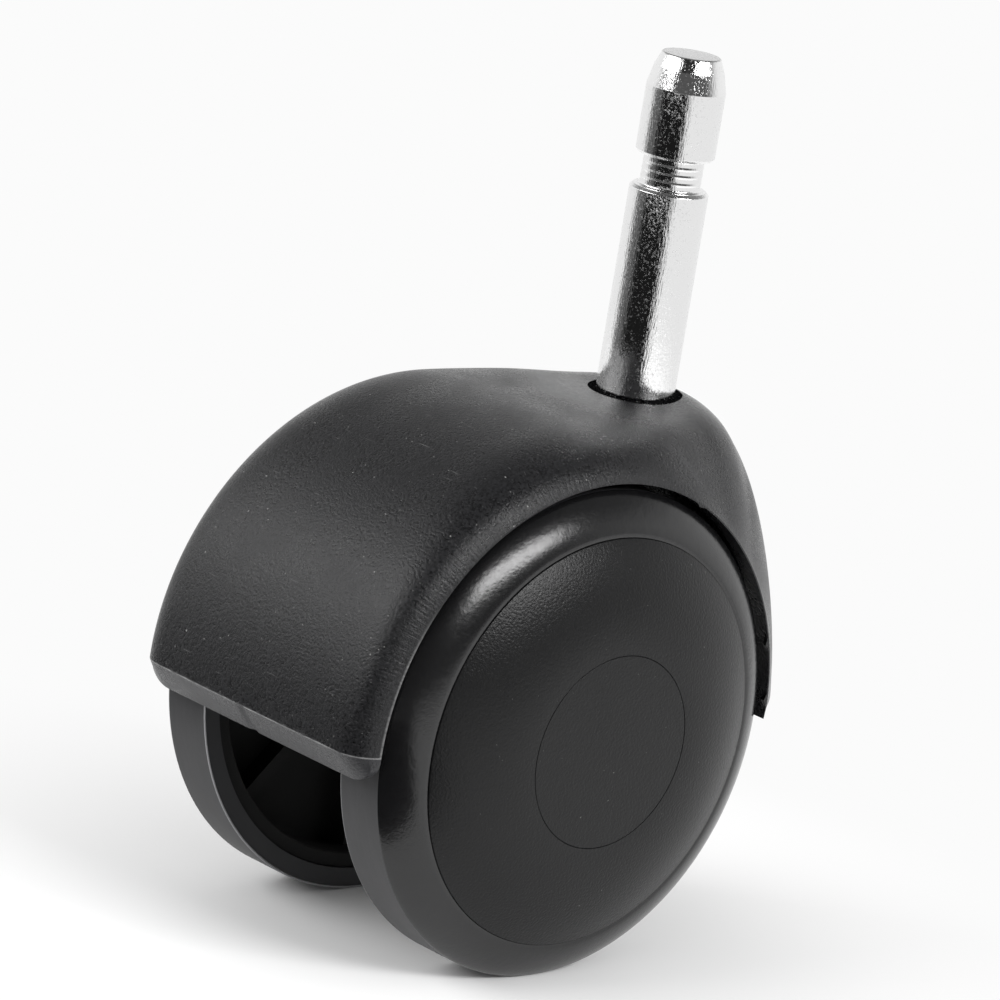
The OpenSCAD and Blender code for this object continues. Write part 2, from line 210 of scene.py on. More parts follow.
pit_bump = add(plating, "Bump", {"Height": pits, "Strength": 1.0, "Distance": pit_depth * MM,
                                 "Normal": mark_bump})
height = add(plating, "SeparateXYZ", {0: place}).outputs["Z"]
sawn = add(plating, "Math", {0: height, 1: (stem_top - edge_break) * MM}, operation="GREATER_THAN")
dulling = add(plating, "MapRange", {"Value": pits, "From Min": pit_from, "From Max": pit_to,
                                    "To Min": bright_rough, "To Max": pit_rough})
stem_gloss = add(plating, "MapRange", {"Value": sawn, "To Min": dulling.outputs[0], "To Max": sawn_rough})
sawn_tone = add(plating, "MixRGB", {"Fac": pits, "Color1": linear("#b8b8b8"), "Color2": linear("#f0f0f0")})
stem_tone = add(plating, "MixRGB", {"Fac": sawn, "Color1": linear("#e8e8e8"), "Color2": sawn_tone})
coat(plating, add(plating, "BsdfPrincipled", {
    "Base Color": stem_tone, "Metallic": 1.0, "Roughness": stem_gloss.outputs[0], "Normal": pit_bump}))
stem.data.materials.append(plating)
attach(stem, "stem")
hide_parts("stem")

# Snap ring
# A split ring of blued spring steel in a groove near the stem's lower end. It springs out under the
# bush and keeps the stem in the hood. Its blueing is a dull grey, clouded by the heat of tempering.
temper_size = 1.5
blued_rough = 0.35
blued, place = new_finish("blued_spring_steel")
temper = add(blued, "TexNoise", {"Vector": place, "Scale": 1 / (temper_size * MM), "Detail": 4.0})
temper_tone = add(blued, "MixRGB", {"Fac": temper.outputs["Fac"], "Color1": linear("#4a4d52"),
                                    "Color2": linear("#6f7378")})
coat(blued, add(blued, "BsdfPrincipled", {
    "Base Color": temper_tone, "Metallic": 1.0, "Roughness": blued_rough}))
frame["nodes"]["snap_ring"].material_slots[0].material = blued

# Hood
# One moulding in black glass-filled nylon: an arched cover over both wheels that swells into a dome round
# the stem, with a web, a stem socket and an axle boss inside. Its mould is spark-eroded to a grain.

# Angles are in degrees about the axle, from level ahead of it over the top to level behind it
TOP = 90
REAR = 180
axle_place = Vector(frame["joints"][1]["pos_m"])
trail = -axle_place.y / MM
axle_drop = -axle_place.z / MM
axle_r = (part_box("axle")[1].z - axle_place.z) / MM
bush_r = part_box("swivel_bush")[1].x / MM
bore_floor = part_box("thrust_disc")[0].z / MM
wheel_r = (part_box("right_tread")[1].z - axle_place.z) / MM
hood_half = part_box("hood")[1].x / MM
hood_t = 2.4
side_t = 2.2
side_blend = 0.5
arch_gap = 0.8
lip_t = 0.15
crown_t = 3.2
dome_rise, roof_fall = 0.08, 1.24
well_r = wheel_r + arch_gap
lip_r = well_r + lip_t
rear_r = well_r + crown_t
dome_h = axle_drop + dome_rise
roof_h = axle_drop - roof_fall
level_from, level_to = 50.8, 62
side_from, side_to = 36, 84
widen_to, widen_from = 50, 45
sag_top, sag_rear = 0.3, 0.2
shoulder_nose, shoulder_stem, shoulder_top, shoulder_rear = 10, 12, 9.2, 4
shoulder_shape = 3.2
shoulder_cut = 0.94
dome_half = 22.05
nose_reach = 17.4
dome_flat = 2.62
dome_round = 1.4
dome_halvings = 24
rear_drop = 2.7
rear_end = REAR + math.degrees(math.asin(rear_drop / well_r))
corner_r = 3
corner_keep = 0.15
bevel_land = 1
nose_out, nose_in = 2.4, -0.4
nose_zone = 6
boss_t, boss_half = 3.2, 8.6
boss_r = axle_r + boss_t
socket_t, collar_t, socket_floor = 3.2, 1.4, 3
socket_r = bush_r + socket_t
collar_r = bush_r + collar_t
socket_low = bore_floor - socket_floor
skin_cover = 0.5
web_half = 2.5
web_low, web_back = 5, 122
web_steps = 40
web_inset, web_lap = 1.2, 1
web_foot = boss_r - web_inset
# Each burr's angle and height
lip_burrs = ((63.3, 0.25), (17.7, 0.35), (4.2, 0.35))
burr_spread = 0.9
burr_reach = 0.5
flash_seed = 5
flash_spots = 54
flash_low, flash_high = -0.4, 1
flash_h, flash_w = 0.16, 0.25
nick_x, nick_half, nick_depth = -0.6, 0.45, 0.3
middle_steps, edge_steps, angle_steps, drop_steps = 30, 56, 300, 10
edge_zone = 9


def rise(value, start, end):
    """Share of the way from start to end, with level ends."""
    t = np.clip((value - start) / (end - start), 0, 1)
    return t * t * (3 - 2 * t)


def mix(a, b, share):
    """A value between a and b."""
    return a + (b - a) * share


def sin_deg(angle):
    """Sine of an angle in degrees."""
    return np.sin(np.radians(angle))


def cos_deg(angle):
    """Cosine of an angle in degrees."""
    return np.cos(np.radians(angle))


def arch_radius(x, phi):
    """Radius about the axle of the arched roof: level behind the stem and rounded off to the rear."""
    level = roof_h / sin_deg(np.clip(phi, web_low, TOP))
    rear_share = rise(phi, TOP, REAR)
    sag = mix(sag_top, sag_rear, rear_share) * (x / hood_half) ** 2
    return np.where(phi < TOP, level, mix(roof_h, rear_r, rear_share)) - sag


def dome_radius(x, phi):
    """Distance from the axle to the dome, oval in front of the stem and straight behind, by halving."""
    low = np.full_like(x, boss_r)
    high = np.full_like(x, trail + nose_reach + roof_h)
    for _ in range(dome_halvings):
        middle = (low + high) / 2
        from_stem = np.hypot(x / dome_half, np.maximum(middle * cos_deg(phi) - trail, 0) / nose_reach)
        height = np.maximum(middle * sin_deg(phi), 0) / dome_h
        inside = from_stem**dome_flat + height**dome_round < 1
        low = np.where(inside, middle, low)
        high = np.where(inside, high, middle)
    return middle


def shoulder_share(x, phi):
    """Share of the roof's height over the lip that the rounded shoulder leaves near the lip."""
    nose = mix(shoulder_nose, shoulder_stem, rise(phi, 0, widen_to))
    front = mix(nose, shoulder_top, rise(phi, widen_from, TOP))
    rear = mix(shoulder_top, shoulder_rear, rise(phi, TOP, REAR))
    t = np.clip(1 - (hood_half - np.abs(x)) / np.where(phi < TOP, front, rear), 0, 1)
    at_lip = (1 - shoulder_cut**shoulder_shape) ** (1 / shoulder_shape)
    here = (1 - (shoulder_cut * t) ** shoulder_shape) ** (1 / shoulder_shape)
    return (here - at_lip) / (1 - at_lip)


def hood_skin(x, phi):
    """Radius of the hood's outside: dome in front of the stem, arch behind it, down to the lip."""
    side = (x / hood_half) ** 2
    arch_share = rise(phi, mix(level_from, side_from, side), mix(level_to, side_to, side))
    crown = mix(dome_radius(x, phi), arch_radius(x, phi), arch_share)
    return mix(lip_r, np.maximum(crown, lip_r), shoulder_share(x, phi))


def corner_share(x):
    """Share of the rear edge's drop that is left near the hood's lower corners."""
    d = np.clip((hood_half - np.abs(x)) / corner_r, 0, 1)
    return mix(corner_keep, 1, np.sqrt(1 - (1 - d) ** 2))


def mould_flash(x, phi):
    """Ragged flash along the rear bevel's upper edge, and a nick in the bevel."""
    spots = np.linspace(-hood_half, hood_half, flash_spots)
    draws = np.random.default_rng(flash_seed).uniform(flash_low, flash_high, flash_spots)
    flash = flash_h * np.maximum(np.interp(x, spots, draws), 0) * (corner_share(x) == 1)
    nick = nick_depth * np.exp(-(((x - nick_x) / nick_half) ** 2))
    return np.where(phi == REAR, flash, np.where(phi > REAR, -nick, 0))


def burrs(x, phi):
    """Height of the burrs inside the right lip."""
    heights = sum(height * np.exp(-(((phi - angle) / burr_spread) ** 2)) for angle, height in lip_burrs)
    return heights * (x > hood_half - burr_reach)


def hood_shell():
    """The hood's shell as a closed grid of outer and inner points over width and angle."""
    half_widths = np.concatenate([
        np.linspace(0, hood_half - edge_zone, middle_steps)[:-1],
        hood_half - edge_zone * (1 - np.linspace(0, 1, edge_steps)) ** 2])
    widths = np.concatenate([-half_widths[:0:-1], half_widths])
    angles = np.concatenate([np.linspace(0, REAR - flash_w, angle_steps), [REAR],
                             np.linspace(REAR + flash_w, rear_end, drop_steps)])
    phi, x = np.meshgrid(angles, widths, indexing="ij")
    above = np.clip(phi, 0, REAR)
    skin = hood_skin(x, above)
    below = (phi - above) / (rear_end - REAR)
    outer_r = mix(skin, np.minimum(skin, well_r + bevel_land), below) + mould_flash(x, phi)
    roof_side = hood_half - side_t
    hollow = rise(np.abs(x), roof_side + side_blend, roof_side - side_blend)
    inner_r = mix(well_r, np.maximum(well_r, skin - hood_t), hollow) - burrs(x, phi)
    drop = above + (phi - above) * corner_share(x)
    nose = np.clip(1 - phi / nose_zone, 0, 1)
    layers = []
    for radius, nose_end in ((outer_r, nose_out), (inner_r, nose_in)):
        turn = drop + nose * nose_end
        ahead, up = radius * cos_deg(turn) - trail, radius * sin_deg(turn) - axle_drop
        layers.append(np.stack([x, ahead, up], -1))
    rows, columns = phi.shape
    outer, inner = np.arange(2 * rows * columns).reshape(2, rows, columns)

    def quads(a, b):
        """Faces between two lines of points."""
        return np.stack([a[:-1], a[1:], b[1:], b[:-1]], -1).reshape(-1, 4)

    faces = [quads(outer[i], outer[i + 1]) for i in range(rows - 1)]
    faces += [quads(inner[i], inner[i + 1]) for i in range(rows - 1)]
    faces += [quads(outer[:, side], inner[:, side]) for side in (0, -1)]
    faces += [quads(outer[end], inner[end]) for end in (0, -1)]
    mesh = bpy.data.meshes.new("shell")
    points = np.concatenate(layers).reshape(-1, 3) * MM
    mesh.from_pydata(points.tolist(), [], np.concatenate(faces).tolist())
    shape = bmesh.new()
    shape.from_mesh(mesh)
    bpy.data.meshes.remove(mesh)
    return new_piece("moulded_hood", shape)


def plate(name, outline, half_width):
    """A flat plate across the mid-plane, from an outline of (y, z) points in mm."""
    shape = bmesh.new()
    face = shape.faces.new([shape.verts.new(Vector((-half_width, y, z)) * MM) for y, z in outline])
    moved = bmesh.ops.extrude_face_region(shape, geom=[face])["geom"]
    corners = [v for v in moved if isinstance(v, bmesh.types.BMVert)]
    bmesh.ops.translate(shape, verts=corners, vec=Vector((2 * half_width, 0, 0)) * MM)
    return new_piece(name, shape)


def bar(name, radius, low, high, centre, axis, across):
    """A round bar with softened ends."""
    outline = rounded([(0, low, 0), (radius, low, fillet), (radius, high, fillet), (0, high, 0)])
    return turned(name, outline, centre, axis, across)


def join(piece, tools, operation):
    """Adds tools to a piece, or cuts them out of it, and removes them."""
    for tool in tools:
        fit = piece.modifiers.new("fit", "BOOLEAN")
        fit.object = tool
        fit.operation = operation
        fit.solver = "MANIFOLD"
    bpy.context.view_layer.update()
    solid = bpy.data.meshes.new_from_object(piece.evaluated_get(bpy.context.evaluated_depsgraph_get()))
    piece.modifiers.clear()
    piece.data = solid
    solid.materials.clear()
    solid.shade_smooth()
    solid.set_sharp_from_angle(angle=SHARP)
    for tool in tools:
        bpy.data.objects.remove(tool)


def dome_height(from_stem):
    """Height of the dome ahead of the stem, at a distance from its axis."""
    return dome_h * (1 - (from_stem / nose_reach) ** dome_flat) ** (1 / dome_round) - axle_drop


hood = hood_shell()
web_angles = np.linspace(web_low, web_back, web_steps)
web_r = hood_skin(np.zeros_like(web_angles), web_angles) - hood_t / 2
web_outline = [(-trail + r * cos_deg(a), -axle_drop + r * sin_deg(a)) for a, r in zip(web_angles, web_r)]
web_outline += [(-trail - web_foot, -axle_drop), (-trail, -axle_drop - web_foot),
                (-trail + web_foot, -axle_drop), (-socket_r, socket_low + web_lap)]
join(hood, [
    plate("web", web_outline, web_half),
    bar("boss", boss_r, -boss_half, boss_half, axle_place, X_AXIS, Y_AXIS),
    bar("socket", socket_r, socket_low, dome_height(socket_r) - skin_cover, ORIGIN, Z_AXIS, X_AXIS),
    bar("collar", collar_r, socket_low, dome_height(collar_r) - skin_cover, ORIGIN, Z_AXIS, X_AXIS),
], "UNION")
join(hood, [
    bar("stem_bore", bush_r, bore_floor, stem_r, ORIGIN, Z_AXIS, X_AXIS),
    bar("axle_bore", axle_r, -boss_half - web_lap, boss_half + web_lap, axle_place, X_AXIS, Y_AXIS),
], "DIFFERENCE")

# Black nylon from a spark-eroded mould: a satin skin of rounded grain about 0.3 mm across, which breaks the
# lamps' reflections into a speckled sheen, smoother in a ring round the stem's hole. Tool marks cross the
# shoulder along the lip, whose inner edge at the rear is painted lighter, partly as rubbed wear and partly
# as a painted highlight, and flow marks sweep round the stem. The mould's seam is a broken line of flash
# along the rear edge, painted pale as a highlight. The rear bevel is painted lighter as a painted
# reflection of the floor, the web, socket and boss inside are painted near black as shade, and a few
# scratches and a little dust lie on the skin.
grain_size, grain_h = 0.28, 0.085
grain_from, grain_to = 0.3, 0.7
mottle_size = 5
mottle_from, mottle_to = 0.35, 0.65
tool_mark_w, tool_mark_h = 0.35, 0.05
tool_band = 2.2
tool_from, tool_fade = 85, 20
flow_mark_w, flow_warp_size = 1.6, 9
flow_from, flow_to = 6, 24
flow_faint, flow_clear = 0.5, 0.7
polish_from, polish_to = 7, 13
dust_size = 0.35
dust_from, dust_to = 0.75, 0.83
rub_w = 0.3
rub_from, rub_to = 145, 158
seam_w, seam_len = 0.1, 2.5
seam_core = seam_w / 3
seam_faint, seam_clear = 0.25, 0.75
scratch_w, scratch_len = 0.18, 2.6
scratch_turn = (0.5, 0.3, 0.7)
scratch_from, scratch_to = 0.8, 0.95
satin_rough, dull_rough, grain_rough, polish_rough = 0.15, 0.32, 0.38, 0.12
nylon_ior = 1.53
hood_specular = 0.34
nylon, place = new_finish("grained_black_nylon")
grain = add(nylon, "TexNoise", {"Vector": place, "Scale": 1 / (grain_size * MM), "Detail": 4.0,
                                "Roughness": 0.6}).outputs["Fac"]
grain_share = add(nylon, "MapRange", {"Value": grain, "From Min": grain_from,
                                      "From Max": grain_to}).outputs[0]
grain_bump = add(nylon, "Bump", {"Height": grain, "Strength": 1.0, "Distance": grain_h * MM})
across = add(nylon, "SeparateXYZ", {0: place}).outputs["X"]
from_middle = add(nylon, "Math", {0: across}, operation="ABSOLUTE")
about_axle = add(nylon, "Mapping", {"Vector": place, "Location": (0, -axle_place.y, -axle_place.z)})
wheel_plane = add(nylon, "SeparateXYZ", {0: about_axle}).outputs
turn = add(nylon, "Math", {0: wheel_plane["Z"], 1: wheel_plane["Y"]}, operation="ARCTAN2")
arc = add(nylon, "Math", {0: turn, 1: lip_r / tool_mark_w}, operation="MULTIPLY")
tool_marks = add(nylon, "TexNoise", {"W": arc, "Scale": 1.0, "Detail": 2.0},
                 noise_dimensions="1D").outputs["Fac"]
band = add(nylon, "MapRange", {"Value": from_middle, "From Min": (hood_half - tool_band) * MM,
                               "From Max": (hood_half - tool_band / 2) * MM})
tool_start = add(nylon, "MapRange", {"Value": turn, "From Min": math.radians(tool_from - tool_fade),
                                     "From Max": math.radians(tool_from)})
tool_rows = add(nylon, "Math", {0: tool_marks, 1: band}, operation="MULTIPLY")
band_marks = add(nylon, "Math", {0: tool_rows, 1: tool_start.outputs[0]}, operation="MULTIPLY")
skin_bump = add(nylon, "Bump", {"Height": band_marks, "Strength": 1.0, "Distance": tool_mark_h * MM,
                                "Normal": grain_bump})
flat_place = add(nylon, "Mapping", {"Vector": place, "Scale": (1, 1, 0)})
from_stem = add(nylon, "VectorMath", {0: flat_place}, operation="LENGTH")
flow_row = add(nylon, "Math", {0: from_stem, 1: 1 / (flow_mark_w * MM)}, operation="MULTIPLY")
flow_warp = add(nylon, "Mapping", {"Vector": place, "Scale": (
    1 / (flow_warp_size * MM), 1 / (flow_warp_size * MM), 0)})
flow_lift = add(nylon, "CombineXYZ", {2: flow_row})
flow_point = add(nylon, "VectorMath", {0: flow_warp, 1: flow_lift}, operation="ADD")
flow = add(nylon, "TexNoise", {"Vector": flow_point, "Scale": 1.0, "Detail": 2.0,
                               "Distortion": 0.6}).outputs["Fac"]
flow_zone = add(nylon, "MapRange", {"Value": from_stem, "From Min": flow_to * MM,
                                    "From Max": flow_from * MM})
flow_seen = add(nylon, "MapRange", {"Value": flow, "From Min": flow_faint, "From Max": flow_clear})
flow_share = add(nylon, "Math", {0: flow_zone, 1: flow_seen}, operation="MULTIPLY")
dust = add(nylon, "TexNoise", {"Vector": place, "Scale": 1 / (dust_size * MM),
                               "Detail": 1.0}).outputs["Fac"]
dust_share = add(nylon, "MapRange", {"Value": dust, "From Min": dust_from, "From Max": dust_to})
from_axle = add(nylon, "CombineXYZ", {1: wheel_plane["Y"], 2: wheel_plane["Z"]})
radius = add(nylon, "VectorMath", {0: from_axle}, operation="LENGTH")
# The lip's inner edge at the rear is painted pale, partly as rubbed wear and partly as a painted highlight.
rub_in = add(nylon, "MapRange", {"Value": radius, "From Min": (well_r + rub_w) * MM,
                                 "From Max": (well_r + rub_w / 2) * MM})
rub_side = add(nylon, "Math", {0: from_middle, 1: (hood_half - rub_w) * MM}, operation="GREATER_THAN")
rub_edge = add(nylon, "Math", {0: rub_in, 1: rub_side}, operation="MULTIPLY")
rub_start = add(nylon, "MapRange", {"Value": turn, "From Min": math.radians(rub_from),
                                    "From Max": math.radians(rub_to)})
rub_part = add(nylon, "Math", {0: rub_edge, 1: tool_marks}, operation="MULTIPLY")
rub_and_highlight_share = add(nylon, "Math", {0: rub_part, 1: rub_start.outputs[0]}, operation="MULTIPLY")
behind = add(nylon, "Math", {0: wheel_plane["Y"], 1: 0.0}, operation="LESS_THAN")
# The flash along the seam is painted pale as a highlight, broken into gaps.
from_seam = add(nylon, "Math", {0: wheel_plane["Z"]}, operation="ABSOLUTE")
seam = add(nylon, "MapRange", {"Value": from_seam, "From Min": seam_w * MM, "From Max": seam_core * MM})
seam_row = add(nylon, "Math", {0: across, 1: 1 / (seam_len * MM)}, operation="MULTIPLY")
seam_gaps = add(nylon, "TexNoise", {"W": seam_row, "Scale": 1.0, "Detail": 3.0}, noise_dimensions="1D")
seam_seen = add(nylon, "MapRange", {"Value": seam_gaps.outputs["Fac"], "From Min": seam_faint,
                                    "From Max": seam_clear})
rear_seam = add(nylon, "Math", {0: seam, 1: behind}, operation="MULTIPLY")
seam_highlight_share = add(nylon, "Math", {0: rear_seam, 1: seam_seen}, operation="MULTIPLY")
# The hood below and behind the axle, mostly its rear bevel, is painted lighter as a painted reflection of
# the floor.
below = add(nylon, "Math", {0: wheel_plane["Z"], 1: 0.0}, operation="LESS_THAN")
bevel_reflection_share = add(nylon, "Math", {0: below, 1: behind}, operation="MULTIPLY")
# The web, socket and boss inside the hood are painted near black as shade.
inside = add(nylon, "Math", {0: radius, 1: (well_r - edge_break) * MM}, operation="LESS_THAN")
scratch_place = add(nylon, "Mapping", {"Vector": place, "Rotation": scratch_turn, "Scale": (
    1 / (scratch_len * MM), 1 / (scratch_w * MM), 1 / (scratch_w * MM))})
scratch = add(nylon, "TexNoise", {"Vector": scratch_place, "Scale": 1.0, "Detail": 0.0}).outputs["Fac"]
scratch_share = add(nylon, "MapRange", {"Value": scratch, "From Min": scratch_from,
                                        "From Max": scratch_to})
grain_tone = add(nylon, "MixRGB", {"Fac": grain_share, "Color1": linear("#070708"),
                                   "Color2": linear("#232325")})
flow_tone = add(nylon, "MixRGB", {"Fac": flow_share, "Color1": grain_tone, "Color2": linear("#2c2c2e")})
dust_tone = add(nylon, "MixRGB", {"Fac": dust_share, "Color1": flow_tone, "Color2": linear("#8a8a88")})
scratch_tone = add(nylon, "MixRGB", {"Fac": scratch_share, "Color1": dust_tone,
                                     "Color2": linear("#5a5a5a")})
bevel_reflection_tone = add(nylon, "MixRGB", {"Fac": bevel_reflection_share, "Color1": scratch_tone,
                                   "Color2": linear("#2c2c2e")})
seam_highlight_tone = add(nylon, "MixRGB", {"Fac": seam_highlight_share, "Color1": bevel_reflection_tone, "Color2": linear("#8c8c8c")})
rub_and_highlight_tone = add(nylon, "MixRGB", {"Fac": rub_and_highlight_share, "Color1": seam_highlight_tone, "Color2": linear("#7a7a7a")})
hood_tone_with_painted_shade = add(nylon, "MixRGB", {"Fac": inside, "Color1": rub_and_highlight_tone, "Color2": linear("#040404")})
mottle = add(nylon, "TexNoise", {"Vector": place, "Scale": 1 / (mottle_size * MM),
                                 "Detail": 4.0}).outputs["Fac"]
mottle_gloss = add(nylon, "MapRange", {"Value": mottle, "From Min": mottle_from, "From Max": mottle_to,
                                       "To Min": satin_rough, "To Max": dull_rough}).outputs[0]
grain_gloss = add(nylon, "MapRange", {"Value": grain_share, "To Min": mottle_gloss,
                                      "To Max": grain_rough}).outputs[0]
near_hole = add(nylon, "MapRange", {"Value": from_stem, "From Min": polish_to * MM,
                                    "From Max": polish_from * MM})
gloss = add(nylon, "MapRange", {"Value": near_hole, "To Min": grain_gloss, "To Max": polish_rough})
coat(nylon, add(nylon, "BsdfPrincipled", {
    "Base Color": hood_tone_with_painted_shade, "Roughness": gloss.outputs[0], "IOR": nylon_ior,
    "Specular IOR Level": hood_specular, "Normal": skin_bump}))
hood.data.materials.append(nylon)
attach(hood, "hood")
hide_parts("hood")

# Swivel bush, thrust disc and axle
# A plain steel tube pressed into the hood, a hard disc that the stem's end stands on, and a ground steel
# pin pressed through the hood's boss.

# Ground steel: a pale grey metal whose shine is uneven from the grinding. Its marks are drawn coarser than
# real ones.
grinding_size = 0.3
ground_rough, mark_rough = 0.2, 0.4
ground, place = new_finish("ground_steel")
grinding = add(ground, "TexNoise", {"Vector": place, "Scale": 1 / (grinding_size * MM), "Detail": 4.0})
ground_gloss = add(ground, "MapRange", {"Value": grinding.outputs["Fac"], "To Min": ground_rough,
                                        "To Max": mark_rough})
coat(ground, add(ground, "BsdfPrincipled", {
    "Base Color": linear("#b9bbbd"), "Metallic": 1.0, "Roughness": ground_gloss}))
for name in ("swivel_bush", "thrust_disc", "axle"):
    frame["nodes"][name].material_slots[0].material = ground

# Wheels
# Two discs moulded in black nylon, each with a rounded rim, a seat for its cap, and ribs and a hub inside.
# They turn on the axle on either side of the hood's boss.
tread_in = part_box("right_tread")[0].x / MM
tread_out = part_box("right_tread")[1].x / MM
rim_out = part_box("right_wheel")[1].x / MM
hub_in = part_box("right_wheel")[0].x / MM
disc_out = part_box("right_wheel_cap")[0].x / MM
cap_r = (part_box("right_wheel_cap")[1].z - axle_place.z) / MM
disc_t, tread_t, cup_t = 1.8, 2.1, 1.5
core_step = 0.6
cap_play, axle_play = 0.03, 0.06
hub_r = 6.5
hub_end_fillet, hub_root_fillet, cup_root_fillet = 0.4, 0.6, 0.8
fine_fillet = 0.05
rim_h = 3.75
rim_w = rim_out - tread_out
rim_shape = 1.5
rim_steps = 20
disc_in = disc_out - disc_t
core_r = wheel_r - tread_t
cup_r = core_r - cup_t
core_in = tread_in + core_step
seat_r = cap_r + cap_play
bore_r = axle_r + axle_play
rib_count = 8
rib_t, rib_h = 1.4, 2
rib_root, rib_lap = 0.9, 0.4
SIDES = (("right", 1), ("left", -1))


def rim_curve():
    """Corners of the rounded rim, from the tread to the side face."""
    turns = [math.pi / 2 * i / rim_steps for i in range(rim_steps + 1)]
    return [(wheel_r - rim_h + rim_h * max(math.cos(a), 0) ** rim_shape,
             tread_out + rim_w * math.sin(a) ** rim_shape, 0) for a in turns]


def ribs(side):
    """The ribs behind a wheel's disc."""
    shape = bmesh.new()
    depth = rib_h + rib_root
    block = Matrix.Diagonal((depth * MM, (cup_r - hub_r + 2 * rib_lap) * MM, rib_t * MM, 1))
    middle = Vector((side * (disc_in + rib_root - depth / 2), (hub_r + cup_r) / 2, 0)) * MM
    for i in range(rib_count):
        turn = Matrix.Rotation(2 * math.pi * i / rib_count, 4, "X")
        spot = Matrix.Translation(axle_place) @ turn @ Matrix.Translation(middle) @ block
        bmesh.ops.create_cube(shape, size=1, matrix=spot)
    return new_piece("ribs", shape)


# Smooth black nylon from a polished mould: a soft gloss with a faint orange peel outside, and a dull
# unpolished face inside, painted near black as shade.
peel_size, peel_h = 1.1, 0.02
speck_size, speck_h = 0.3, 0.012
polished_rough, speck_rough, inside_rough = 0.16, 0.28, 0.85
wheel_specular = 0.5
polish, place = new_finish("smooth_black_nylon")
peel = add(polish, "TexNoise", {"Vector": place, "Scale": 1 / (peel_size * MM),
                                "Detail": 3.0}).outputs["Fac"]
specks = add(polish, "TexNoise", {"Vector": place, "Scale": 1 / (speck_size * MM),
                                  "Detail": 2.0}).outputs["Fac"]
peel_bump = add(polish, "Bump", {"Height": peel, "Strength": 1.0, "Distance": peel_h * MM})
speck_bump = add(polish, "Bump", {"Height": specks, "Strength": 1.0, "Distance": speck_h * MM,
                                  "Normal": peel_bump})
about_axle = add(polish, "Mapping", {"Vector": place, "Location": (0, -axle_place.y, -axle_place.z)})
wheel_plane = add(polish, "SeparateXYZ", {0: about_axle}).outputs
from_middle = add(polish, "Math", {0: wheel_plane["X"]}, operation="ABSOLUTE")
# The wheel's inner faces are painted near black as shade.
inside = add(polish, "Math", {0: from_middle, 1: (tread_out - edge_break) * MM}, operation="LESS_THAN")
outer_tone = add(polish, "MixRGB", {"Fac": peel, "Color1": linear("#0b0b0c"), "Color2": linear("#131314")})
wheel_tone_with_painted_shade = add(polish, "MixRGB", {"Fac": inside, "Color1": outer_tone, "Color2": linear("#020202")})
outer_gloss = add(polish, "MapRange", {"Value": specks, "To Min": polished_rough, "To Max": speck_rough})
polish_gloss = add(polish, "MapRange", {"Value": inside, "To Min": outer_gloss, "To Max": inside_rough})
coat(polish, add(polish, "BsdfPrincipled", {
    "Base Color": wheel_tone_with_painted_shade, "Roughness": polish_gloss, "IOR": nylon_ior,
    "Specular IOR Level": wheel_specular, "Normal": speck_bump}))

for side_name, side in SIDES:
    wheel = turned(
        f"{side_name}_moulded_wheel",
        rounded(
            [(bore_r, hub_in, edge_break), (hub_r, hub_in, hub_end_fillet),
             (hub_r, disc_in, hub_root_fillet), (cup_r, disc_in, cup_root_fillet),
             (cup_r, core_in, fillet), (core_r, core_in, edge_break), (core_r, tread_out, 0)]
            + rim_curve()
            + [(seat_r, rim_out, fine_fillet), (seat_r, disc_out, edge_break),
               (bore_r, disc_out, edge_break)]
        ),
        axle_place, X_AXIS * side, Y_AXIS,
    )
    join(wheel, [ribs(side)], "UNION")
    wheel.data.materials.append(polish)
    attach(wheel, f"{side_name}_wheel")
    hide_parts(f"{side_name}_wheel")

# Treads
# A plain band of harder wearing plastic moulded over each wheel's rim, a little lighter than the wheel,
# with a fine pale line painted along its inner edge as a highlight.
tread_step = 0.25
tread_edge = 0.14
tread_flare, flare_fillet = 0.1, 0.08
tread_lip_r = wheel_r - 2 * tread_edge

# Worn plastic: a dull dark grey, faintly streaked by rolling, with a fine even grain
roll_mark_w, roll_mark_len = 0.5, 4
tread_grain_size, tread_grain_h = 0.35, 0.008
tread_rough, tread_ior = 0.48, 1.5
wear, place = new_finish("worn_tread_plastic")
rolling = add(wear, "Mapping", {"Vector": place, "Scale": (
    1 / (roll_mark_w * MM), 1 / (roll_mark_len * MM), 1 / (roll_mark_len * MM))})
rolled = add(wear, "TexNoise", {"Vector": rolling, "Scale": 1.0, "Detail": 4.0}).outputs["Fac"]
tread_grain = add(wear, "TexNoise", {"Vector": place, "Scale": 1 / (tread_grain_size * MM),
                                     "Detail": 2.0}).outputs["Fac"]
tread_bump = add(wear, "Bump", {"Height": tread_grain, "Strength": 1.0, "Distance": tread_grain_h * MM})
across = add(wear, "SeparateXYZ", {0: place}).outputs["X"]
from_middle = add(wear, "Math", {0: across}, operation="ABSOLUTE")
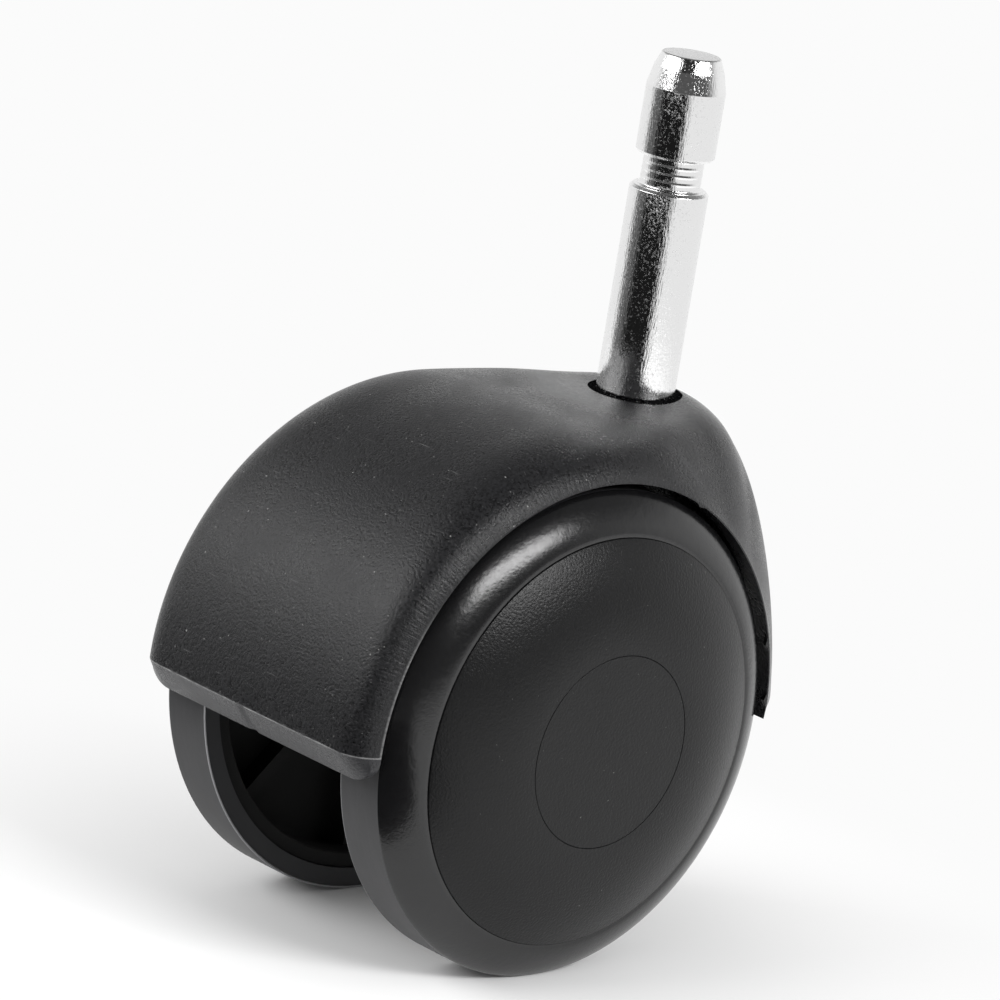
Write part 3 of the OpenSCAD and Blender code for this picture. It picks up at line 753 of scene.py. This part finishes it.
# The inner edge is painted pale as a highlight of its rounded corner catching the lamps.
edge_highlight_share = add(wear, "MapRange", {"Value": from_middle, "From Min": (tread_in + tread_edge) * MM,
                                    "From Max": (tread_in + tread_edge / 2) * MM})
band_tone = add(wear, "MixRGB", {"Fac": rolled, "Color1": linear("#242426"), "Color2": linear("#303032")})
tread_tone = add(wear, "MixRGB", {"Fac": edge_highlight_share, "Color1": band_tone, "Color2": linear("#8c8c8e")})
coat(wear, add(wear, "BsdfPrincipled", {
    "Base Color": tread_tone, "Roughness": tread_rough, "IOR": tread_ior, "Normal": tread_bump}))
for side_name, side in SIDES:
    tread = turned(
        f"{side_name}_moulded_tread",
        rounded([
            (core_r, tread_in + tread_step, 0), (tread_lip_r, tread_in + tread_step, fine_fillet),
            (tread_lip_r + tread_flare, tread_in, flare_fillet), (wheel_r, tread_in, tread_edge),
            (wheel_r, tread_out, 0), (core_r, tread_out, 0)]),
        axle_place, X_AXIS * side, Y_AXIS,
    )
    tread.data.materials.append(wear)
    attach(tread, f"{side_name}_wheel")
    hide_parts(f"{side_name}_tread")

# Wheel caps
# A shallow domed cap in black nylon snaps into each wheel and hides its hub. A fine ring line is cut
# round its flat middle, which is left bare.
cap_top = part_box("right_wheel_cap")[1].x / MM
cap_proud = 0.1
cap_edge = rim_out + cap_proud
cap_flat_r = 9.9
cap_t = 1.6
cap_foot = 0.3
wall_in = cap_r - cap_t
ring_line = 0.1
cap_steps = 24
cap_corner, cap_hollow_fillet = 0.1, 3


def cap_shoulder():
    """Corners of the cap's shoulder, an arc that leaves the flat middle level."""
    run = cap_r - cap_flat_r
    fall = cap_top - cap_edge
    radius = (run * run + fall * fall) / (2 * fall)
    sweep = math.asin(run / radius)
    turns = [sweep * i / cap_steps for i in range(cap_steps + 1)]
    corners = [(cap_flat_r + radius * math.sin(a), cap_top - radius * (1 - math.cos(a)), 0)
               for a in turns]
    return corners[:-1] + [corners[-1][:2] + (cap_corner,)]


# Black nylon from a lightly blasted mould: matt and darker than the hood, with a finer grain that sparkles
# next to the lamps' reflections.
cap_grain_size, cap_grain_h = 0.26, 0.045
cap_cloud_size = 7
cap_dust_from, cap_dust_to = 0.78, 0.84
hollow_rough, peak_rough = 0.28, 0.42
cap_specular = 0.27
matt, place = new_finish("matt_black_nylon")
cap_grain = add(matt, "TexNoise", {"Vector": place, "Scale": 1 / (cap_grain_size * MM),
                                   "Detail": 2.5}).outputs["Fac"]
cap_bump = add(matt, "Bump", {"Height": cap_grain, "Strength": 1.0, "Distance": cap_grain_h * MM})
cap_clouds = add(matt, "TexNoise", {"Vector": place, "Scale": 1 / (cap_cloud_size * MM), "Detail": 3.0})
cap_dust = add(matt, "TexNoise", {"Vector": place, "Scale": 1 / (dust_size * MM),
                                  "Detail": 1.0}).outputs["Fac"]
cap_dust_share = add(matt, "MapRange", {"Value": cap_dust, "From Min": cap_dust_from,
                                        "From Max": cap_dust_to})
clean_tone = add(matt, "MixRGB", {"Fac": cap_clouds.outputs["Fac"], "Color1": linear("#060607"),
                                  "Color2": linear("#0d0d0e")})
cap_tone = add(matt, "MixRGB", {"Fac": cap_dust_share, "Color1": clean_tone, "Color2": linear("#6a6a68")})
cap_gloss = add(matt, "MapRange", {"Value": cap_grain, "To Min": hollow_rough, "To Max": peak_rough})
coat(matt, add(matt, "BsdfPrincipled", {
    "Base Color": cap_tone, "Roughness": cap_gloss, "IOR": nylon_ior, "Specular IOR Level": cap_specular,
    "Normal": cap_bump}))
for side_name, side in SIDES:
    cap = turned(
        f"{side_name}_domed_cap",
        rounded(
            [(0, cap_top, 0), (cap_flat_r - ring_line, cap_top, fine_fillet),
             (cap_flat_r - ring_line / 2, cap_top - ring_line, fine_fillet)]
            + cap_shoulder()
            + [(cap_r, disc_out, edge_break), (wall_in, disc_out, edge_break),
               (wall_in, disc_out + cap_foot, cap_foot), (cap_flat_r, cap_top - cap_t, cap_hollow_fillet),
               (0, cap_top - cap_t, 0)]
        ),
        axle_place, X_AXIS * side, Y_AXIS,
    )
    cap.data.materials.append(matt)
    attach(cap, f"{side_name}_wheel")
    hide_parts(f"{side_name}_wheel_cap")

# Axle clips
# A push-on clip stamped from thin spring steel bites the axle outside each hub and keeps the wheel on.
# It is blued like the snap ring.
for side_name, side in SIDES:
    frame["nodes"][f"{side_name}_axle_clip"].material_slots[0].material = blued

# Studio
# A pale paper floor under two soft boxes, one on each side of the camera, with a white surround behind the
# object and a dark room behind the camera. Sizes here are in metres.
floor_z = axle_place.z - wheel_r * MM
floor_size = 3.0
floor_cells = 8
camera_azimuth = math.radians(45.56)
camera_elevation = math.radians(14.05)
camera_roll = math.radians(9.34)
camera_distance = 600 * MM
camera_target = axle_place + Vector((-4.6, 5.1, 17.6)) * MM
camera_lens = 216
camera_near = 0.01


def heading(azimuth, elevation):
    """A unit vector towards a place seen from the object: azimuth 0 is -Y, 90 degrees is +X."""
    level = math.cos(elevation)
    return Vector((math.sin(azimuth) * level, -math.cos(azimuth) * level, math.sin(elevation)))


# White paper: matt close to the object, where it takes the shadow, and as white as the backdrop farther off
seen_from, seen_to = 0.03, 0.08
mirrored_from, mirrored_to = 0.18, 0.26
paper, place = new_finish("white_paper")
rays = add(paper, "LightPath").outputs
flat_place = add(paper, "Mapping", {"Vector": place, "Location": (0, -axle_place.y, 0),
                                    "Scale": (1, 1, 0)})
distance = add(paper, "VectorMath", {0: flat_place}, operation="LENGTH")
shares = []
for ray, start, end in (("Is Camera Ray", seen_from, seen_to),
                        ("Is Glossy Ray", mirrored_from, mirrored_to)):
    far = add(paper, "MapRange", {"Value": distance, "From Min": start, "From Max": end},
              interpolation_type="SMOOTHSTEP")
    shares.append(add(paper, "Math", {0: rays[ray], 1: far.outputs[0]}, operation="MULTIPLY"))
backdrop_share = add(paper, "Math", {0: shares[0], 1: shares[1]}, operation="MAXIMUM")
sheet = add(paper, "BsdfDiffuse", {"Color": linear("#ffffff")})
white = add(paper, "Emission", {"Color": linear("#fbfbfb"), "Strength": 1.0})
coat(paper, add(paper, "MixShader", {0: backdrop_share, 1: sheet, 2: white}))
shape = bmesh.new()
bmesh.ops.create_grid(shape, x_segments=floor_cells, y_segments=floor_cells, size=floor_size / 2,
                      matrix=Matrix.Translation((0, 0, floor_z)))
floor = new_piece("floor", shape)
floor.data.materials.append(paper)

# Dark and grey glowing sheets over the paper on the camera's side, which only reflections see: painted
# reflections of a darker room
glow_sheet_near = 75 * MM
glow_sheet_far = 900 * MM
glow_sheet_lift = 0.2 * MM


def painted_reflection_sheet(name, azimuth_from, azimuth_to, colour):
    """A sector of glowing sheet round the object, which only reflections see: a painted reflection."""
    top, _ = new_finish(name)
    coat(top, add(top, "Emission", {"Color": linear(colour), "Strength": 1.0}))
    shape = bmesh.new()
    start, end = math.radians(azimuth_from), math.radians(azimuth_to)
    ends = [(start, glow_sheet_near), (end, glow_sheet_near), (end, glow_sheet_far), (start, glow_sheet_far)]
    lift = Vector((0, 0, floor_z + glow_sheet_lift))
    shape.faces.new([shape.verts.new(heading(azimuth, 0) * reach + lift) for azimuth, reach in ends])
    glow_sheet = new_piece(name, shape)
    glow_sheet.data.materials.append(top)
    glow_sheet.visible_camera = False
    glow_sheet.visible_diffuse = False
    glow_sheet.visible_transmission = False
    glow_sheet.visible_shadow = False


painted_reflection_sheet("painted_dark_reflection", azimuth_from=-22, azimuth_to=60, colour="#1c1c1c")
painted_reflection_sheet("painted_grey_reflection", azimuth_from=-54, azimuth_to=-22, colour="#6a6a6a")

# One soft box on each side of the camera
box_distance = 0.65


def soft_box(name, azimuth, elevation, width, height, watts):
    """A rectangular soft box that faces the object."""
    lamp = bpy.data.lights.new(name, "AREA")
    lamp.shape = "RECTANGLE"
    lamp.size = width
    lamp.size_y = height
    lamp.energy = watts
    box = bpy.data.objects.new(name, lamp)
    towards = heading(math.radians(azimuth), math.radians(elevation))
    box.location = towards * box_distance
    box.rotation_euler = towards.to_track_quat("Z", "Y").to_euler()
    bpy.context.scene.collection.objects.link(box)


soft_box("right_box", azimuth=95, elevation=31, width=0.38, height=0.15, watts=2.6)
soft_box("left_box", azimuth=-25, elevation=30, width=0.58, height=0.30, watts=2.5)

# White surround behind the object, dark room behind the camera and dimmer light overhead
surround_from, surround_to = -0.3, 0.5
room_level = 0.1
backdrop_from, backdrop_to = 0.26, 0.62
overhead_level = 0.25
world = bpy.data.worlds.new("studio")
world.use_nodes = True
world.node_tree.nodes.clear()
looking = add(world, "TexCoord").outputs["Generated"]
towards_camera = add(world, "VectorMath", {0: looking, 1: heading(camera_azimuth, 0)},
                     operation="DOT_PRODUCT")
surround = add(world, "MapRange", {"Value": towards_camera, "From Min": surround_from,
                                   "From Max": surround_to, "To Min": 1.0, "To Max": room_level},
               interpolation_type="SMOOTHSTEP")
height = add(world, "SeparateXYZ", {0: looking}).outputs["Z"]
overhead = add(world, "MapRange", {"Value": height, "From Min": backdrop_from, "From Max": backdrop_to,
                                   "To Min": 1.0, "To Max": overhead_level},
               interpolation_type="SMOOTHSTEP")
studio_light = add(world, "Math", {0: surround.outputs[0], 1: overhead.outputs[0]}, operation="MULTIPLY")
rays = add(world, "LightPath").outputs
room = add(world, "MixRGB", {"Fac": rays["Is Glossy Ray"], "Color1": linear("#d0d0d0"),
                             "Color2": studio_light})
level = add(world, "MixRGB", {"Fac": rays["Is Camera Ray"], "Color1": room,
                              "Color2": linear("#fdfdfd")})
light = add(world, "Background", {"Color": level, "Strength": 1.0})
add(world, "OutputWorld", {"Surface": light})
bpy.context.scene.world = world
bpy.context.scene.view_settings.view_transform = "Standard"

camera_data = bpy.data.cameras.new("camera")
camera_data.lens = camera_lens
camera_data.clip_start = camera_near
camera = bpy.data.objects.new("camera", camera_data)
back = heading(camera_azimuth, camera_elevation)
level_right = Vector((math.cos(camera_azimuth), math.sin(camera_azimuth), 0))
level_up = back.cross(level_right)
right = level_right * math.cos(camera_roll) + level_up * math.sin(camera_roll)
up = back.cross(right)
camera.matrix_world = Matrix.Translation(camera_target + back * camera_distance) @ Matrix(
    (right, up, back)).transposed().to_4x4()
bpy.context.scene.collection.objects.link(camera)
bpy.context.scene.camera = camera
